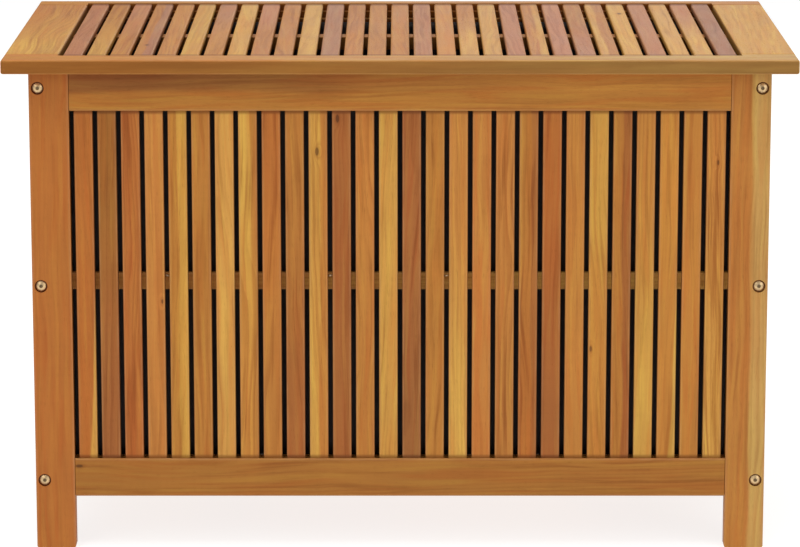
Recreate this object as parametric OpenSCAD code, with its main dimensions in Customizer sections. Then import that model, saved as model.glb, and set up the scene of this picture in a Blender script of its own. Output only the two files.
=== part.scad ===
// Deck storage box: four slatted panels, a slatted lid on two butt hinges, a
// boarded floor and a hung fabric liner.
// X runs along the width, the front faces -Y and Z is up. The origin is on the
// ground under the middle of the box.

/* [Overall] */
// Width over the lid
box_w = 900; // [650:10:1400]
// Depth over the lid
box_d = 500; // [400:10:700]
// Height from the ground to the top of the lid
box_h = 575; // [420:5:800]

/* [Frames] */
// Thickness of stiles and rails
frame_t = 20; // [18:1:28]
// Face width of a stile
stile_w = 45; // [36:1:70]
// Height of a rail
rail_h = 45; // [36:1:80]
// Clear height under the bottom rails
leg_clear = 62; // [20:1:120]
// Length of the tenon on a rail
tenon_l = 15; // [8:1:22]
// Thickness of a tenon
tenon_t = 8; // [5:1:10]
// Shoulder above and below a tenon
tenon_shoulder = 10; // [6:1:12]
// Play around a tenon or a housed batten
joint_play = 0.1; // [0.05:0.05:0.5]
// Rounding at the foot of a leg
foot_r = 3; // [1:0.5:8]

/* [Slats] */
// Width of a slat
slat_w = 21.5; // [16:0.5:60]
// Thickness of a slat
slat_t = 9; // [6:0.5:10]
// Gap aimed at between slats
slat_gap = 5.2; // [3:0.2:12]
// Distance from the frame's face back to the slats
slat_set = 3; // [1:0.5:4]
// Depth of the groove that a slat stands in
groove_d = 8; // [4:1:12]
// Play in front of a slat and over its top end
groove_play = 0.2; // [0.1:0.1:0.6]
// Height of the batten behind the slats
batten_h = 20; // [12:1:50]
// Distance from the middle of the panel up to the batten
batten_rise = 4; // [-60:1:60]
// Depth of a batten's housing in the stile
housing_l = 8; // [4:1:16]

/* [Corner bolts] */
// Distance from a bolt to the corner of the body
bolt_edge = 10; // [9:0.5:12]
// Distance from the end bolts to the outer edges of the rails
bolt_inset = 19; // [12:1:24]
// Length of a bolt under its head
bolt_l = 36; // [30:1:44]
// Diameter of a bolt
bolt_d = 6; // [4:0.5:6]
// Diameter of a bolt's head
bolt_head_d = 11.6; // [9:0.2:12]
// Height of a bolt's domed head
bolt_head_h = 3; // [2:0.5:4]
// Height of the straight rim under the dome
bolt_rim_h = 1.2; // [0.8:0.2:1.6]
// Key size of the hex socket
bolt_key = 4; // [2.5:0.5:5]
// Depth of the hex socket
bolt_socket = 2; // [1:0.2:2.4]
// Diameter of the counterbore
bore_d = 14.8; // [12.6:0.2:16]
// Depth of the counterbore
bore_depth = 3.4; // [2:0.2:6]
// Clearance around a bolt's shank
bolt_play = 0.4; // [0.2:0.1:0.8]
// Outer diameter of the threaded insert
insert_d = 9; // [8:0.5:11]
// Length of the threaded insert
insert_l = 13; // [8:1:18]

/* [Floor] */
// Height and width of a floor cleat
cleat_s = 20; // [14:1:28]
// Screws that hold a cleat to its rail
cleat_screw_count = 4; // [2:1:6]
// Length of a cleat screw
cleat_screw_l = 32; // [24:1:36]
// Width of a floor board
board_w = 68; // [40:1:120]
// Thickness of a floor board
board_t = 10; // [8:1:16]
// Drop from the bottom rail's top to the floor boards
floor_drop = 11.25; // [0:0.25:20]
// Length of a floor screw
floor_screw_l = 24; // [18:1:28]
// Gap aimed at between floor boards
board_gap = 12; // [6:1:30]
// Play at the ends of floor boards and cleats
floor_play = 1; // [0.5:0.5:4]

/* [Lid] */
// Thickness of the lid
lid_t = 16; // [14:1:24]
// Overhang of the lid at each end
side_overhang = 29; // [5:1:60]
// Overhang of the lid at the front
front_overhang = 24; // [5:1:60]
// Overhang of the lid at the back
back_overhang = 24; // [22:1:60]
// Gap between the lid and the body
lid_gap = 0.5; // [0.3:0.1:3]
// Width of a board across the lid's end
end_w = 61.5; // [40:0.5:100]
// Width of the lid's front rail
lid_front_w = 50; // [36:1:90]
// Width of the lid's back rail
lid_back_w = 35; // [32:1:90]
// Thickness of a lid slat
lid_slat_t = 8; // [6:0.5:10]
// Drop from the lid's face to its slats
lid_slat_drop = 0.8; // [0.2:0.1:2]
// Width of the ledge that carries a slat's end
ledge_w = 12; // [8:1:16]
// Width of the batten under the lid slats
lid_batten_w = 25; // [16:1:60]
// Thickness of the batten under the lid slats
lid_batten_t = 15; // [10:1:20]
// Wood left over the tip of a screw through the lid batten
screw_cover = 2; // [1:0.5:3]
// Thickness of the tenons on the lid's end boards
lid_tenon_t = 5; // [3:0.5:6]
// Slats from one batten screw to the next
screw_every = 4; // [2:1:6]

/* [Hinges] */
// Distance from the middle of a hinge to the end of the body
hinge_inset = 130; // [70:5:200]
// Length of a hinge
hinge_l = 64; // [50:1:100]
// Thickness of a hinge leaf
leaf_t = 2; // [1.2:0.1:3]
// Height of the leaf on the body
body_leaf_h = 32; // [26:1:38]
// Outer radius of a knuckle
knuckle_r = 4; // [3.5:0.1:5]
// Diameter of the hinge pin
pin_d = 4; // [3:0.1:5]
// Running clearance on the diameter of the pin
pin_play = 0.06; // [0.02:0.01:0.1]
// Clearance around and between knuckles
knuckle_play = 0.5; // [0.3:0.1:1]
// Number of knuckles on a hinge
knuckles = 5; // [3:2:7]
// Distance from the lid leaf's edge to the back edge of the lid
leaf_margin = 2; // [1:0.5:4]
// Distance from a hinge's end to its screws
screw_margin = 11.5; // [8:0.5:16]

/* [Wood screws] */
// Diameter of a wood screw
screw_d = 3.6; // [3:0.1:4.5]
// Diameter of a countersunk head
screw_head_d = 7; // [6:0.2:8]
// Length of a hinge screw
hinge_screw_l = 14; // [10:1:15]
// Clearance on the diameter of a pilot hole
pilot_play = 0.1; // [0.05:0.05:0.4]

/* [Liner] */
// Thickness of the liner's cloth
liner_t = 1.6; // [1:0.2:4]
// Gap between the liner and the panels
liner_gap = 2; // [1:0.5:6]
// Distance from the top of the body down to the liner's rim
liner_drop = 4; // [3:1:60]
// Radius of the liner's upright corners
liner_r = 22; // [8:1:60]
// Height of the hook tape that holds the rim
tape_h = 20; // [12:1:30]
// Distance from the liner's corner to the tape
tape_inset = 30; // [10:1:80]

/* [Hidden] */

$fn = 48;
eps = 0.01;   // overrun of a cut past the face it leaves

oiled = "#b07a3c";
pale = "#c9984f";
amber = "#bd8238";
russet = "#9c5f2c";
lid_tone = "#c08f58";
zinc = "#b9b6ae";
nickel = "#a9a79f";
brass = "#b89a55";
cloth = "#1d1d20";

// Body
body_w = box_w - 2 * side_overhang;
body_h = box_h - lid_t - lid_gap;
front_y = -box_d / 2 + front_overhang;
back_y = box_d / 2 - back_overhang;
body_d = back_y - front_y;
mid_y = (front_y + back_y) / 2;
side_w = body_d - 2 * frame_t;

// Heights on the panels
bottom_top = leg_clear + rail_h;
top_bottom = body_h - rail_h;
panel_mid = (bottom_top + top_bottom) / 2;
batten_z = panel_mid + batten_rise - batten_h / 2;
bolt_zs = [leg_clear + bolt_inset, panel_mid, body_h - bolt_inset];

// Slats, tenons and battens, measured from a panel's face
slat_back = slat_set + slat_t;
batten_t = frame_t - slat_back;
tenon_y = (frame_t - tenon_t) / 2;
tenon_h = rail_h - 2 * tenon_shoulder;

// Floor
floor_top = bottom_top - floor_drop;
cleat_top = floor_top - board_t;
inner_w = body_w - 2 * frame_t;
inner_d = body_d - 2 * frame_t;
board_count = round((inner_w - board_gap) / (board_w + board_gap));
board_space = (inner_w - board_count * board_w) / (board_count + 1);

// Lid
lid_z = box_h - lid_t;
lid_opening = box_w - 2 * end_w;
slat_top = box_h - lid_slat_drop;
ledge_z = slat_top - lid_slat_t;
slats_y0 = -box_d / 2 + lid_front_w;
slats_y1 = box_d / 2 - lid_back_w;
lid_batten_y = (slats_y0 + slats_y1 - lid_batten_w) / 2;
lid_batten_z = ledge_z - lid_batten_t;
lid_batten_screw_l = lid_batten_t + lid_slat_t - screw_cover;

// Hinges
hinge_y = back_y + knuckle_r + knuckle_play;
hinge_z = lid_z - knuckle_r - knuckle_play;
hinge_xs = [-body_w / 2 + hinge_inset, body_w / 2 - hinge_inset];
knuckle_l = hinge_l / knuckles;
lid_leaf_end = box_d / 2 - leaf_margin;
screw_spread = hinge_l / 2 - screw_margin;
body_screw_z = hinge_z - knuckle_r - (body_leaf_h - knuckle_r) / 2;
lid_screw_y = (hinge_y + knuckle_r + lid_leaf_end) / 2;
head_h = (screw_head_d - screw_d) / 2;

// Liner
liner_w = inner_w - 2 * liner_gap;
liner_d = inner_d - 2 * liner_gap;
liner_z1 = body_h - liner_drop;

// Number of slats that come nearest to the gap aimed at, and the gap they get
function slat_count(opening) = round((opening - slat_gap) / (slat_w + slat_gap));
function true_gap(opening) = (opening - slat_count(opening) * slat_w) / (slat_count(opening) + 1);
function slat_x(opening, i) = -opening / 2 + true_gap(opening) + i * (slat_w + true_gap(opening));

// Left edge of a floor board
function board_x(i) = -inner_w / 2 + board_space + i * (board_w + board_space);

// First lid slat with a batten screw, so that the row of screws is centred
first_screw = floor(((slat_count(lid_opening) - 1) % screw_every) / 2);

// Puts a panel drawn with its face at y = 0 on one side of the box
module on_front() { translate([0, front_y, 0]) children(); }
module on_back() { translate([0, back_y, 0]) rotate([0, 0, 180]) children(); }
module on_left() { translate([-body_w / 2, mid_y, 0]) rotate([0, 0, -90]) children(); }
module on_right() { translate([body_w / 2, mid_y, 0]) rotate([0, 0, 90]) children(); }

// Rounds an edge along Y when it is cut away; the edge is at the origin
module edge_cut(r, l) {
    translate([0, -eps, 0])
        difference() {
            translate([-eps, 0, -eps]) cube([r + eps, l + 2 * eps, r + eps]);
            translate([r, -1, r]) rotate([-90, 0, 0]) cylinder(h = l + 2, r = r);
        }
}

// Stile at the left end of a panel, with its mortises, housing and grooves left open
module stile(width) {
    inner = -width / 2 + stile_w;
    difference() {
        translate([-width / 2, 0, 0]) cube([stile_w, frame_t, body_h]);
        for (z = [leg_clear, top_bottom])
            translate([inner - tenon_l - joint_play, tenon_y - joint_play, z + tenon_shoulder - joint_play])
                cube([tenon_l + joint_play + 1, tenon_t + 2 * joint_play, tenon_h + 2 * joint_play]);
        translate([inner - housing_l - joint_play, slat_back, batten_z - joint_play])
            cube([housing_l + joint_play + 1, batten_t + 1, batten_h + 2 * joint_play]);
        translate([-width / 2, 0, 0]) edge_cut(foot_r, frame_t);
        translate([inner, 0, 0]) mirror([1, 0, 0]) edge_cut(foot_r, frame_t);
    }
}

// Rail between the stiles of a panel, with a tenon at each end
module rail(width, z) {
    opening = width - 2 * stile_w;
    translate([-opening / 2, 0, z]) cube([opening, frame_t, rail_h]);
    translate([-opening / 2 - tenon_l, tenon_y, z + tenon_shoulder])
        cube([opening + 2 * tenon_l, tenon_t, tenon_h]);
}

// Groove for the slats, cut along a rail from the height z upward
module slat_groove(width, z) {
    opening = width - 2 * stile_w;
    translate([-opening / 2 - 1, slat_set - groove_play, z])
        cube([opening + 2, slat_t + groove_play, groove_d + 1]);
}

module top_rail(width) {
    difference() {
        rail(width, top_bottom);
        slat_groove(width, top_bottom - 1);
    }
}

module bottom_rail(width) {
    difference() {
        rail(width, leg_clear);
        slat_groove(width, bottom_top - groove_d);
    }
}

// Slats that stand in the grooves of both rails
module slats(width) {
    opening = width - 2 * stile_w;
    foot = bottom_top - groove_d;
    head = top_bottom + groove_d - groove_play;
    for (i = [0 : slat_count(opening) - 1])
        translate([slat_x(opening, i), slat_set, foot]) cube([slat_w, slat_t, head - foot]);
}

// Batten behind the slats, housed in both stiles
module batten(width) {
    opening = width - 2 * stile_w;
    translate([-opening / 2 - housing_l, slat_back, batten_z])
        cube([opening + 2 * housing_l, batten_t, batten_h]);
}

// Cylinder that starts at y = 0 and runs toward +Y
module rod(d, l) { rotate([-90, 0, 0]) cylinder(h = l, d = d); }

// Places its children at the bolts of the left or the right corner of a long panel
module at_bolts(side) {
    for (z = bolt_zs) translate([side * (body_w / 2 - bolt_edge), 0, z]) children();
}

// Counterbored bolt hole through the face of a stile
module bolt_hole() {
    translate([0, -1, 0]) rod(bore_d, bore_depth + 1);
    rod(bolt_d + bolt_play, frame_t + 1);
}

// Blind hole for an insert and the end of its bolt, starting at the edge of a side stile
module insert_hole() {
    translate([0, -1, 0]) rod(insert_d, insert_l + 1);
    rod(bolt_d + bolt_play, bore_depth + bolt_l - frame_t + 1);
}

// Domed bolt with a hex socket, its head seated in the counterbore
module bolt() {
    dome_h = bolt_head_h - bolt_rim_h;
    dome_r = (pow(bolt_head_d / 2, 2) + pow(dome_h, 2)) / (2 * dome_h);
    socket_d = bolt_key * 2 / sqrt(3);
    translate([0, bore_depth, 0]) {
        rod(bolt_d, bolt_l);
        difference() {
            intersection() {
                translate([0, -bolt_head_h, 0]) rod(bolt_head_d, bolt_head_h);
                translate([0, dome_r - bolt_head_h, 0]) sphere(r = dome_r);
            }
            translate([0, -bolt_head_h - 1, 0])
                rotate([-90, 0, 0])
                    cylinder(h = bolt_socket + 1, d = socket_d, $fn = 6);
        }
    }
}

// Threaded insert in the edge of a side stile; the thread is left plain
module insert() {
    difference() {
        rod(insert_d, insert_l);
        translate([0, -1, 0]) rod(bolt_d, insert_l + 2);
    }
}

module long_stile(side) {
    difference() {
        if (side < 0) stile(body_w);
        else mirror([1, 0, 0]) stile(body_w);
        at_bolts(side) bolt_hole();
    }
}

// Stile of a side panel; its outer edge takes the inserts
module side_stile(side) {
    difference() {
        if (side < 0) stile(side_w);
        else mirror([1, 0, 0]) stile(side_w);
        for (z = bolt_zs)
            translate([side * side_w / 2, bolt_edge, z]) rotate([0, 0, side * 90]) insert_hole();
    }
}

// Countersunk wood screw: the head's face is at z = 0 and the shank points down
module wood_screw(l) {
    translate([0, 0, -head_h]) cylinder(h = head_h, d1 = screw_d, d2 = screw_head_d);
    translate([0, 0, -l]) cylinder(h = l - head_h / 2, d = screw_d);
}

// Hole for a countersunk wood screw
module screw_hole(l) {
    translate([0, 0, -head_h]) cylinder(h = head_h, d1 = screw_d, d2 = screw_head_d);
    cylinder(h = 1, d = screw_head_d);
    translate([0, 0, -l - 1]) cylinder(h = l + 1, d = screw_d + pilot_play);
}

// Cleat screws stand in gaps between floor boards, clear of the screws in the boards
module at_cleat_screws() {
    for (i = [0 : cleat_screw_count - 1]) {
        gap = round(board_count * (i + 0.5) / cleat_screw_count);
        translate([board_x(gap) - board_space / 2, 0, cleat_top - cleat_s / 2]) children();
    }
}

module at_floor_screws(y) {
    for (i = [0 : board_count - 1])
        translate([board_x(i) + board_w / 2, y, floor_top]) children();
}

module at_lid_batten_screws() {
    for (i = [first_screw : screw_every : slat_count(lid_opening) - 1])
        translate([slat_x(lid_opening, i) + slat_w / 2, lid_batten_y + lid_batten_w / 2, lid_batten_z])
            rotate([180, 0, 0]) children();
}

module at_body_leaf_screws() {
    for (hx = hinge_xs, side = [-1, 1])
        translate([hx + side * screw_spread, back_y + leaf_t, body_screw_z]) rotate([-90, 0, 0]) children();
}

module at_lid_leaf_screws() {
    for (hx = hinge_xs, side = [-1, 1])
        translate([hx + side * screw_spread, lid_screw_y, lid_z - leaf_t]) rotate([180, 0, 0]) children();
}

// Panels
module front_left_stile() { color(oiled) on_front() long_stile(-1); }
module front_right_stile() { color(amber) on_front() long_stile(1); }
module front_top_rail() { color(russet) on_front() top_rail(body_w); }
module front_slats() { color(pale) on_front() slats(body_w); }
module front_batten() { color(russet) on_front() batten(body_w); }

module front_bottom_rail() {
    color(oiled)
        difference() {
            on_front() bottom_rail(body_w);
            translate([0, front_y + frame_t, 0]) at_cleat_screws() rotate([-90, 0, 0]) cleat_pilot();
        }
}

module back_left_stile() { color(amber) on_back() long_stile(1); }
module back_right_stile() { color(oiled) on_back() long_stile(-1); }
module back_slats() { color(pale) on_back() slats(body_w); }
module back_batten() { color(russet) on_back() batten(body_w); }

module back_top_rail() {
    color(oiled)
        difference() {
            on_back() top_rail(body_w);
            at_body_leaf_screws() screw_hole(hinge_screw_l);
        }
}

module back_bottom_rail() {
    color(russet)
        difference() {
            on_back() bottom_rail(body_w);
            translate([0, back_y - frame_t, 0]) at_cleat_screws() rotate([90, 0, 0]) cleat_pilot();
        }
}

module left_front_stile() { color(amber) on_left() side_stile(1); }
module left_back_stile() { color(oiled) on_left() side_stile(-1); }
module left_top_rail() { color(oiled) on_left() top_rail(side_w); }
module left_bottom_rail() { color(amber) on_left() bottom_rail(side_w); }
module left_slats() { color(pale) on_left() slats(side_w); }
module left_batten() { color(russet) on_left() batten(side_w); }

module right_front_stile() { color(oiled) on_right() side_stile(-1); }
module right_back_stile() { color(amber) on_right() side_stile(1); }
module right_top_rail() { color(amber) on_right() top_rail(side_w); }
module right_bottom_rail() { color(oiled) on_right() bottom_rail(side_w); }
module right_slats() { color(pale) on_right() slats(side_w); }
module right_batten() { color(russet) on_right() batten(side_w); }

// Bolts and inserts at the corners
module front_corner_bolts() { color(zinc) on_front() for (side = [-1, 1]) at_bolts(side) bolt(); }
module back_corner_bolts() { color(zinc) on_back() for (side = [-1, 1]) at_bolts(side) bolt(); }

module corner_inserts() {
    color(brass) {
        on_front() translate([0, frame_t, 0]) for (side = [-1, 1]) at_bolts(side) insert();
        on_back() translate([0, frame_t, 0]) for (side = [-1, 1]) at_bolts(side) insert();
    }
}

// Floor
module cleat_pilot() {
    translate([0, 0, -cleat_screw_l + cleat_s - 1])
        cylinder(h = cleat_screw_l - cleat_s + 2, d = screw_d + pilot_play);
}

module cleat(y) {
    translate([-inner_w / 2 + floor_play, y, cleat_top - cleat_s])
        cube([inner_w - 2 * floor_play, cleat_s, cleat_s]);
}

module front_cleat() {
    color(russet)
        difference() {
            cleat(front_y + frame_t);
            translate([0, front_y + frame_t + cleat_s, 0])
                at_cleat_screws() rotate([-90, 0, 0]) screw_hole(cleat_screw_l);
            at_floor_screws(front_y + frame_t + cleat_s / 2) screw_hole(floor_screw_l);
        }
}

module back_cleat() {
    color(russet)
        difference() {
            cleat(back_y - frame_t - cleat_s);
            translate([0, back_y - frame_t - cleat_s, 0])
                at_cleat_screws() rotate([90, 0, 0]) screw_hole(cleat_screw_l);
            at_floor_screws(back_y - frame_t - cleat_s / 2) screw_hole(floor_screw_l);
        }
}

module cleat_screws() {
    color(nickel) {
        translate([0, front_y + frame_t + cleat_s, 0])
            at_cleat_screws() rotate([-90, 0, 0]) wood_screw(cleat_screw_l);
        translate([0, back_y - frame_t - cleat_s, 0])
            at_cleat_screws() rotate([90, 0, 0]) wood_screw(cleat_screw_l);
    }
}

module floor_boards() {
    color(pale)
        difference() {
            for (i = [0 : board_count - 1])
                translate([board_x(i), mid_y - inner_d / 2 + floor_play, cleat_top])
                    cube([board_w, inner_d - 2 * floor_play, board_t]);
            at_floor_screws(front_y + frame_t + cleat_s / 2) screw_hole(floor_screw_l);
            at_floor_screws(back_y - frame_t - cleat_s / 2) screw_hole(floor_screw_l);
        }
}

module floor_screws() {
    color(nickel) {
        at_floor_screws(front_y + frame_t + cleat_s / 2) wood_screw(floor_screw_l);
        at_floor_screws(back_y - frame_t - cleat_s / 2) wood_screw(floor_screw_l);
    }
}

// Liner
module rounded_rect(w, d, r) {
    square([w - 2 * r, d], center = true);
    square([w, d - 2 * r], center = true);
    for (sx = [-1, 1], sy = [-1, 1])
        translate([sx * (w / 2 - r), sy * (d / 2 - r)]) circle(r = r);
}

module liner() {
    color(cloth)
        translate([0, mid_y, floor_top])
            difference() {
                linear_extrude(liner_z1 - floor_top) rounded_rect(liner_w, liner_d, liner_r);
                translate([0, 0, liner_t])
                    linear_extrude(liner_z1 - floor_top)
                        rounded_rect(liner_w - 2 * liner_t, liner_d - 2 * liner_t, liner_r - liner_t);
            }
}

// Strips of hook tape between the liner's rim and the top rails
module liner_tape() {
    along_x = liner_w - 2 * liner_r - 2 * tape_inset;
    along_y = liner_d - 2 * liner_r - 2 * tape_inset;
    color(cloth)
        translate([0, mid_y, liner_z1 - tape_h]) {
            for (side = [-1, 1]) {
                translate([-along_x / 2, side * (liner_d + liner_gap) / 2 - liner_gap / 2, 0])
                    cube([along_x, liner_gap, tape_h]);
                translate([side * (liner_w + liner_gap) / 2 - liner_gap / 2, -along_y / 2, 0])
                    cube([liner_gap, along_y, tape_h]);
            }
        }
}

// Lid
module lid_rail(y, w) { translate([-box_w / 2, y, lid_z]) cube([box_w, w, lid_t]); }

// Ledge that carries the slats' ends, cut between the end boards
module ledge_cut(y) {
    translate([-lid_opening / 2, y, ledge_z]) cube([lid_opening, ledge_w + 1, lid_t]);
}

// Tenon on an end board, or the mortise for it when play is given
module end_tenon(side, y, play) {
    translate([side * (box_w - end_w) / 2 - end_w / 2 + tenon_shoulder - play, y - play,
               lid_z + (lid_t - lid_tenon_t) / 2 - play])
        cube([end_w - 2 * tenon_shoulder + 2 * play, tenon_l + 2 * play, lid_tenon_t + 2 * play]);
}

module lid_front_rail() {
    color(lid_tone)
        difference() {
            lid_rail(-box_d / 2, lid_front_w);
            ledge_cut(slats_y0 - ledge_w);
            for (side = [-1, 1]) end_tenon(side, slats_y0 - tenon_l, joint_play);
        }
}

module lid_back_rail() {
    color(lid_tone)
        difference() {
            lid_rail(slats_y1, lid_back_w);
            ledge_cut(slats_y1 - 1);
            for (side = [-1, 1]) end_tenon(side, slats_y1, joint_play);
            at_lid_leaf_screws() screw_hole(hinge_screw_l);
        }
}

module lid_end(side) {
    translate([side * (box_w - end_w) / 2 - end_w / 2, slats_y0, lid_z])
        cube([end_w, slats_y1 - slats_y0, lid_t]);
    end_tenon(side, slats_y0 - tenon_l, 0);
    end_tenon(side, slats_y1, 0);
}

module lid_left_end() { color(lid_tone) lid_end(-1); }
module lid_right_end() { color(lid_tone) lid_end(1); }

module lid_slats() {
    color(pale)
        difference() {
            for (i = [0 : slat_count(lid_opening) - 1])
                translate([slat_x(lid_opening, i), slats_y0 - ledge_w + groove_play, ledge_z])
                    cube([slat_w, slats_y1 - slats_y0 + 2 * ledge_w - 2 * groove_play, lid_slat_t]);
            at_lid_batten_screws() screw_hole(lid_batten_screw_l);
        }
}

module lid_batten() {
    color(russet)
        difference() {
            translate([-lid_opening / 2, lid_batten_y, lid_batten_z])
                cube([lid_opening, lid_batten_w, lid_batten_t]);
            at_lid_batten_screws() screw_hole(lid_batten_screw_l);
        }
}

module lid_batten_screws() { color(nickel) at_lid_batten_screws() wood_screw(lid_batten_screw_l); }

// Hinges: the body's leaf has the odd knuckles and holds the pin
module knuckle_rows(x, first, grow) {
    for (i = [first : 2 : knuckles - 1])
        translate([x - hinge_l / 2 + i * knuckle_l - grow, 0, 0])
            rotate([0, 90, 0]) cylinder(h = knuckle_l + 2 * grow, r = knuckle_r + grow);
}

// Cylinder along a hinge's axis that runs out past both of its ends
module hinge_bore(x, d) {
    translate([x - hinge_l, hinge_y, hinge_z]) rotate([0, 90, 0]) cylinder(h = 2 * hinge_l, d = d);
}

module hinge_barrel(x, first, bore) {
    translate([0, hinge_y, hinge_z])
        difference() {
            intersection() {
                knuckle_rows(x, first, 0);
                for (i = [first : 2 : knuckles - 1])
                    translate([x - hinge_l / 2 + i * knuckle_l + knuckle_play / 4, -knuckle_r, -knuckle_r])
                        cube([knuckle_l - knuckle_play / 2, 2 * knuckle_r, 2 * knuckle_r]);
            }
            translate([0, -hinge_y, -hinge_z]) hinge_bore(x, bore);
        }
}

module body_leaf(x) {
    difference() {
        union() {
            translate([x - hinge_l / 2, back_y, hinge_z - body_leaf_h])
                cube([hinge_l, leaf_t, body_leaf_h]);
            translate([x - hinge_l / 2, back_y, hinge_z - leaf_t])
                cube([hinge_l, knuckle_r, leaf_t]);
        }
        translate([0, hinge_y, hinge_z]) knuckle_rows(x, 1, knuckle_play);
        hinge_bore(x, 2 * knuckle_r - leaf_t);
        at_body_leaf_screws() screw_hole(hinge_screw_l);
    }
    hinge_barrel(x, 0, pin_d);
}

module lid_leaf(x) {
    difference() {
        translate([x - hinge_l / 2, hinge_y, lid_z - leaf_t])
            cube([hinge_l, lid_leaf_end - hinge_y, leaf_t]);
        translate([0, hinge_y, hinge_z]) knuckle_rows(x, 0, knuckle_play);
        hinge_bore(x, 2 * knuckle_r - leaf_t);
        at_lid_leaf_screws() screw_hole(hinge_screw_l);
    }
    hinge_barrel(x, 1, pin_d + pin_play);
}

module hinge_pin(x) {
    translate([x - hinge_l / 2, hinge_y, hinge_z])
        rotate([0, 90, 0])
            cylinder(h = hinge_l, d = pin_d);
}

module left_hinge_body_leaf() { color(nickel) body_leaf(hinge_xs[0]); }
module left_hinge_lid_leaf() { color(nickel) lid_leaf(hinge_xs[0]); }
module left_hinge_pin() { color(zinc) hinge_pin(hinge_xs[0]); }
module right_hinge_body_leaf() { color(nickel) body_leaf(hinge_xs[1]); }
module right_hinge_lid_leaf() { color(nickel) lid_leaf(hinge_xs[1]); }
module right_hinge_pin() { color(zinc) hinge_pin(hinge_xs[1]); }
module hinge_body_screws() { color(zinc) at_body_leaf_screws() wood_screw(hinge_screw_l); }
module hinge_lid_screws() { color(zinc) at_lid_leaf_screws() wood_screw(hinge_screw_l); }

front_left_stile();
front_right_stile();
front_top_rail();
front_bottom_rail();
front_slats();
front_batten();
back_left_stile();
back_right_stile();
back_top_rail();
back_bottom_rail();
back_slats();
back_batten();
left_front_stile();
left_back_stile();
left_top_rail();
left_bottom_rail();
left_slats();
left_batten();
right_front_stile();
right_back_stile();
right_top_rail();
right_bottom_rail();
right_slats();
right_batten();
front_corner_bolts();
back_corner_bolts();
corner_inserts();
front_cleat();
back_cleat();
cleat_screws();
floor_boards();
floor_screws();
liner();
liner_tape();
lid_front_rail();
lid_back_rail();
lid_left_end();
lid_right_end();
lid_slats();
lid_batten();
lid_batten_screws();
left_hinge_body_leaf();
left_hinge_lid_leaf();
left_hinge_pin();
right_hinge_body_leaf();
right_hinge_lid_leaf();
right_hinge_pin();
hinge_body_screws();
hinge_lid_screws();
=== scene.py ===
import bpy
import math
import random
import numpy as np
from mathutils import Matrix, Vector, noise


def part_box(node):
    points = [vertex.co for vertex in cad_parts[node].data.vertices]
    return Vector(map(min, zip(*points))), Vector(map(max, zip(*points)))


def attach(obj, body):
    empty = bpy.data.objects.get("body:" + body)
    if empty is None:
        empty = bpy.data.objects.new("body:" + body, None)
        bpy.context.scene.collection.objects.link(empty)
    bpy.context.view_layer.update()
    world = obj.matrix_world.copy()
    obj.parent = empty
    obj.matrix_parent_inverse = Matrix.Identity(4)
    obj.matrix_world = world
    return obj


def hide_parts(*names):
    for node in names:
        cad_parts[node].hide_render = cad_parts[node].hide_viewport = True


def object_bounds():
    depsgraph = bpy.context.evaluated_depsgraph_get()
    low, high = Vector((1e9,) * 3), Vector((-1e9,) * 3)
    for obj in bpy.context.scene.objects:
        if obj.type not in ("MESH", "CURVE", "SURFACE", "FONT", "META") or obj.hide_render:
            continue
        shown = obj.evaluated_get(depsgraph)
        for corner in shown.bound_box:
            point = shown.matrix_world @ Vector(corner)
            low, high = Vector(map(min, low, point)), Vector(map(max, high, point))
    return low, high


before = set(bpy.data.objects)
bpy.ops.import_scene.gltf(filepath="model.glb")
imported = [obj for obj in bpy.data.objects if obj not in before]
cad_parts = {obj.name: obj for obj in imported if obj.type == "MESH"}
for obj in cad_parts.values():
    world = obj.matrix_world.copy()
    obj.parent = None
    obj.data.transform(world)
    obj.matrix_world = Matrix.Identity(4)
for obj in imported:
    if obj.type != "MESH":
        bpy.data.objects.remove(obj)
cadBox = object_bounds()
print("frame loaded:", len(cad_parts), "pieces")


class Wire:
    # a node's socket that can stand in a sum, so shader maths reads as plain expressions
    def __init__(self, finish, socket):
        self.finish = finish
        self.socket = socket

    def __add__(self, other):
        return self.finish.combine("ADD", self, other)

    def __radd__(self, other):
        return self.finish.combine("ADD", other, self)

    def __sub__(self, other):
        return self.finish.combine("SUBTRACT", self, other)

    def __rsub__(self, other):
        return self.finish.combine("SUBTRACT", other, self)

    def __mul__(self, other):
        return self.finish.combine("MULTIPLY", self, other)

    def __rmul__(self, other):
        return self.finish.combine("MULTIPLY", other, self)

    def __truediv__(self, other):
        return self.finish.combine("DIVIDE", self, other)

    def __rtruediv__(self, other):
        return self.finish.combine("DIVIDE", other, self)

    def __pow__(self, other):
        return self.finish.combine("POWER", self, other)

    def __rpow__(self, other):
        return self.finish.combine("POWER", other, self)

    def smaller(self, other):
        return self.finish.combine("MINIMUM", self, other)

    def larger(self, other):
        return self.finish.combine("MAXIMUM", self, other)

    def only(self, operation):
        return self.finish.node("Math", {"operation": operation}, {0: self})

    def ramp(self, low, high):
        # smooth rise from 0 at low to 1 at high; low may be the larger of the two
        if low > high:
            return 1 - self.ramp(high, low)
        return self.finish.node("MapRange", {"interpolation_type": "SMOOTHSTEP"},
                                {"Value": self, "From Min": low, "From Max": high})

    def parts(self):
        return [self.finish.node("SeparateXYZ", {}, {0: self}, axis) for axis in range(3)]

    def length(self):
        return self.finish.node("VectorMath", {"operation": "LENGTH"}, {0: self}, "Value")


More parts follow.
